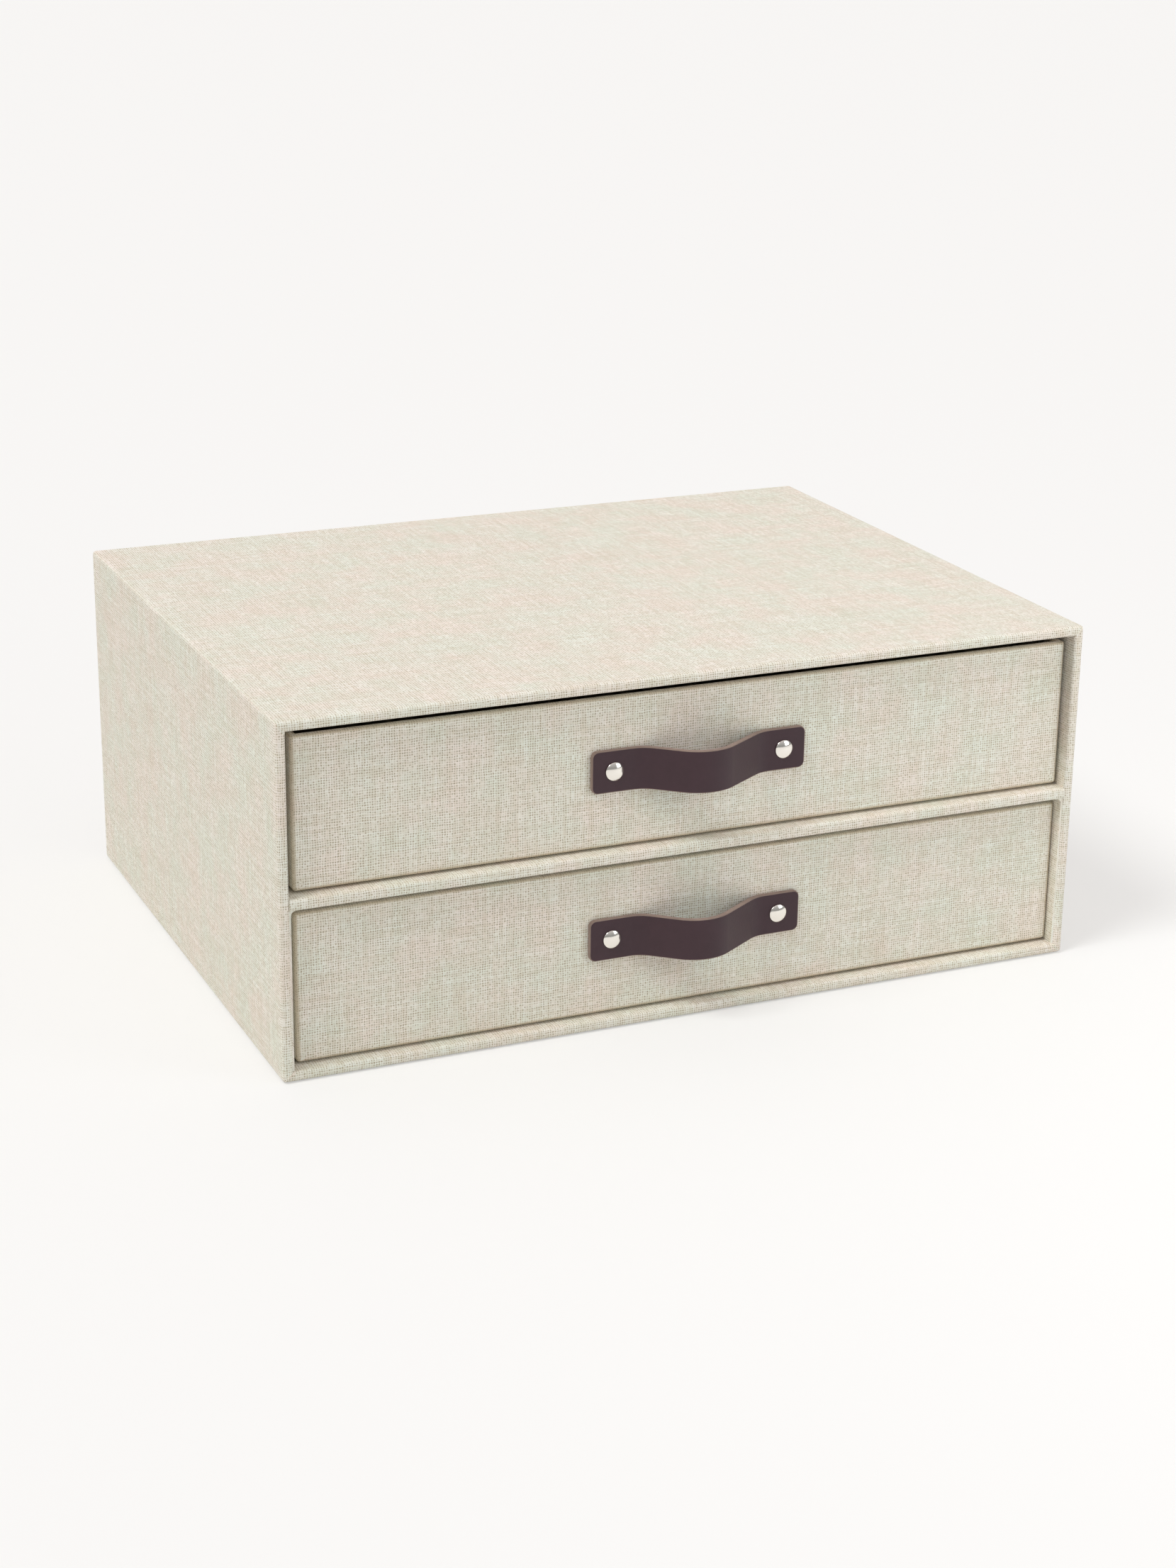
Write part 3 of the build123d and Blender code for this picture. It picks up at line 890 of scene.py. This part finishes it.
# Points along the mitre, as shares of the wall: close together over both rounded arrises.
mitre_reaches = [case_wall * share for share in (0.16, 0.22, 0.3, 0.38, 0.7, 0.8, 0.88, 0.95)]
# For each corner of the mouth: its signs in x and z, which way the fold lies flush, its height.
mouth_corners = (((-1, 1), (0, -1), 0.42 * MM), ((1, 1), (0, -1), 0.16 * MM),
                 ((-1, -1), (1, 0), 0.20 * MM), ((1, -1), (-1, 0), 0.26 * MM))

bm = bmesh.new()
for (side_x, side_z), (flush_x, flush_z), height in mouth_corners:
    corner = Vector((case_high.x if side_x > 0 else case_low.x, case_low.y,
                     case_high.z if side_z > 0 else case_low.z))
    points = [corner + Vector((-side_x * reach, depth_of_mouth(reach), -side_z * reach))
              for reach in mitre_reaches]
    draw_fold(bm, points, to_front, Vector((flush_x, 0, flush_z)), height)
mitres = folded_cloth("case_mitre_folds", bm, "case")
print("mitres:", len(mitres.data.polygons), "faces")

crease_start = 1.0 * MM
crease_length = 4.2 * MM
crease_height = 0.14 * MM
crease_leans = (0.8, 1.7)   # rise for each unit sideways
crease_top = 0.3            # where along it a crease stands highest
for drawer in drawers:
    low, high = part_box(f"{drawer}_cover")
    bm = bmesh.new()
    for side, corner_x in ((1, low.x), (-1, high.x)):
        for lean in crease_leans:
            start = Vector((corner_x + side * crease_start, low.y, low.z + crease_start))
            end = start + Vector((side, 0, lean)).normalized() * crease_length
            # Both ends sink into the front, the far one nearly all the way.
            sunk_start = start + Vector((0, crease_height * 0.6, 0))
            sunk_end = end + Vector((0, crease_height * 0.96, 0))
            draw_fold(bm, [sunk_start, start.lerp(end, crease_top), sunk_end], to_front,
                      Vector((side, 0, 0)), crease_height)
    creases = folded_cloth(f"{drawer}_corner_creases", bm, drawer)
    print(creases.name, len(creases.data.polygons), "faces")

# %% [markdown]
# ## The strap handles
#
# Each handle is a strip of leather 2 mm thick, riveted down at both ends and left a little long
# between them, so that it bows out into a grip. Leather bends but hardly stretches, so its line is
# straight runs joined by plain arcs. A curve with a bevel would work too, but an upright edge drawn
# along that line gives the strip directly: it is extruded along each run and spun round each bend.

# %% Strap handles
strap_thickness = 2.0 * MM
strap_corner = 2.5 * MM
strap_arris = 0.35 * MM
grip_peak = 17.6 * MM       # where the two slopes would meet, out from the drawer front
grip_peak_x = -2.2 * MM
grip_feet_x = (-23.0 * MM, 25.5 * MM)
bend_radii = (12 * MM, 16 * MM, 14 * MM)
bend_steps = 14


def strap_strip(centre, reach, width):
    """A strip standing on edge along the strap's bowed line, seen from above."""
    line = [Vector((x, y, 0)) for x, y in (
        (-reach / 2, 0), (grip_feet_x[0], 0), (grip_peak_x, -grip_peak),
        (grip_feet_x[1], 0), (reach / 2, 0))]
    ways = [(b - a).normalized() for a, b in zip(line, line[1:])]
    bm = bmesh.new()
    ends = [bm.verts.new(line[0] + Vector((0, 0, side * width / 2))) for side in (-1, 1)]
    front_edge = [bm.edges.new(ends)]
    at = line[0]

    def draw_to(place):
        """Draw the strip on, straight, to a place on its line."""
        nonlocal front_edge, at
        drawn = bmesh.ops.extrude_edge_only(bm, edges=front_edge)["geom"]
        verts = [g for g in drawn if isinstance(g, bmesh.types.BMVert)]
        bmesh.ops.translate(bm, vec=place - at, verts=verts)
        front_edge = [g for g in drawn if isinstance(g, bmesh.types.BMEdge)
                      and all(v in verts for v in g.verts)]
        at = place

    for corner, before, after, radius in zip(line[1:], ways, ways[1:], bend_radii):
        turn = before.angle(after)
        bend_sign = math.copysign(1, before.cross(after).z)
        tangent = radius * math.tan(turn / 2)
        draw_to(corner - before * tangent)
        hub = at + Vector((-before.y, before.x, 0)) * bend_sign * radius
        spun = bmesh.ops.spin(bm, geom=front_edge + list(front_edge[0].verts), cent=hub,
                              axis=(0, 0, bend_sign), dvec=(0, 0, 0), angle=turn,
                              steps=bend_steps, use_merge=False, use_duplicate=False)
        front_edge = [g for g in spun["geom_last"] if isinstance(g, bmesh.types.BMEdge)]
        at = corner + after * tangent
    draw_to(line[-1])
    bmesh.ops.remove_doubles(bm, verts=bm.verts, dist=NEAR)
    end_corners = [v for v in bm.verts if abs(abs(v.co.x) - reach / 2) < NEAR]
    bmesh.ops.bevel(bm, geom=end_corners, offset=strap_corner, offset_type="OFFSET", segments=6,
                    profile=0.5, affect="VERTICES", clamp_overlap=True, material=-1)
    bmesh.ops.translate(bm, vec=centre, verts=bm.verts)
    return bm


for drawer in drawers:
    low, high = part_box(f"{drawer}_handle")
    centre = Vector(((low.x + high.x) / 2, high.y - strap_thickness / 2, (low.z + high.z) / 2))
    bm = strap_strip(centre, reach=high.x - low.x, width=high.z - low.z)
    strap = make_piece(f"{drawer}_strap", bm, [leather_face, leather_edge], drawer,
                       [f"{drawer}_handle"])
    solid = thicken(strap, strap_thickness, offset=0.0)
    solid.material_offset_rim = 1
    arris = strap.modifiers.new("worn_arris", "BEVEL")
    arris.width = strap_arris
    arris.segments = 2
    arris.limit_method = "ANGLE"
    arris.angle_limit = sharp_turn
    arris.material = 1
    keep_flats_flat(strap)
    print(strap.name, "bows out", round((high.y - low.y) / MM, 2), "mm from the drawer front")

# %% [markdown]
# ## The rivets
#
# A rivet is turned work, so it is spun: half of its section, from the end of the post to the crown
# of the cap, goes round the axis once. The crown is a shallow dome, flat enough to reflect the
# room as one bright patch. Inside the drawer a second, flatter cap closes each post.

# %% Rivets
rivet_cap = 7.2 * MM
rivet_rim = 0.5 * MM
rivet_dome = 0.9 * MM
rivet_lip = 0.12 * MM       # the cap's small bevels
rivet_post = 3.0 * MM
back_cap = 8.0 * MM
back_cap_height = 1.2 * MM
back_cap_round = 0.5 * MM
dome_steps = 8
spin_steps = 48


def dome(radius, base, rise, steps):
    """Points of a shallow dome's section, from its edge in to its crown."""
    sphere = (radius ** 2 + rise ** 2) / (2 * rise)
    reaches = [radius * (1 - i / steps) for i in range(steps + 1)]
    return [(r, base + rise - sphere + math.sqrt(sphere ** 2 - r ** 2)) for r in reaches]


def spin_sections(section, hubs, outward):
    """Turned pieces about axes along Y: the section gives radius and height outwards."""
    bm = bmesh.new()
    for hub in hubs:
        points = [bm.verts.new(hub + Vector((radius, outward * height, 0)))
                  for radius, height in section]
        edges = [bm.edges.new(pair) for pair in zip(points, points[1:])]
        bmesh.ops.spin(bm, geom=edges + points, cent=hub, axis=(0, 1, 0), dvec=(0, 0, 0),
                       angle=math.tau, steps=spin_steps, use_merge=True, use_duplicate=False)
    bmesh.ops.remove_doubles(bm, verts=bm.verts, dist=NEAR)
    bmesh.ops.recalc_face_normals(bm, faces=bm.faces)
    return bm


for drawer in drawers:
    low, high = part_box(f"{drawer}_rivets")
    face_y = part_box(f"{drawer}_cover")[0].y - strap_thickness
    post_length = high.y - face_y
    hubs = [Vector((x, face_y, (low.z + high.z) / 2))
            for x in (low.x + rivet_cap / 2, high.x - rivet_cap / 2)]
    section = [(0, -post_length), (rivet_post / 2, -post_length), (rivet_post / 2, 0),
               (rivet_cap / 2 - rivet_lip, 0), (rivet_cap / 2, rivet_lip),
               (rivet_cap / 2, rivet_rim - rivet_lip),
               *dome(rivet_cap / 2 - rivet_lip, rivet_rim, rivet_dome, dome_steps)]
    bm = spin_sections(section, hubs, outward=-1)
    caps = make_piece(f"{drawer}_rivet_caps", bm, [nickel], drawer, [f"{drawer}_rivets"])
    caps.data.set_sharp_from_angle(angle=sharp_turn)

    inside_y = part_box(f"{drawer}_rivet_backs")[0].y
    hubs = [Vector((hub.x, inside_y, hub.z)) for hub in hubs]
    flat = back_cap / 2 - back_cap_round
    section = [(0, 0), (back_cap / 2, 0), (back_cap / 2, back_cap_height - back_cap_round)]
    shoulder = back_cap_height - back_cap_round
    section += [(flat + back_cap_round * math.cos(turn), shoulder + back_cap_round * math.sin(turn))
                for turn in map(math.radians, (30, 60, 90))]
    section.append((0, back_cap_height))
    bm = spin_sections(section, hubs, outward=1)
    backs = make_piece(f"{drawer}_rivet_inner_caps", bm, [nickel], drawer,
                       [f"{drawer}_rivet_backs"])
    backs.data.set_sharp_from_angle(angle=sharp_turn)
    print(caps.name, len(caps.data.polygons), "faces;", backs.name, len(backs.data.polygons))

# %% [markdown]
# ## The boards and papers that the frame already has
#
# The boards, linings and base sheets are flat sheets with the right shape, so they stay as they
# are and only get their finish, by the slot that the record names for each.

# %% Finishes of the frame's own nodes
finishes = {"linen": linen, "paper": lining_paper, "greyboard": greyboard,
            "leather": leather_face, "nickel": nickel}
for subpart in frame["record"]["subparts"]:
    node = frame["nodes"][subpart["node"]]
    node.data.materials.clear()
    node.data.materials.append(finishes[subpart["material_slot"]])
print("finished", len(frame["nodes"]), "nodes of the frame")
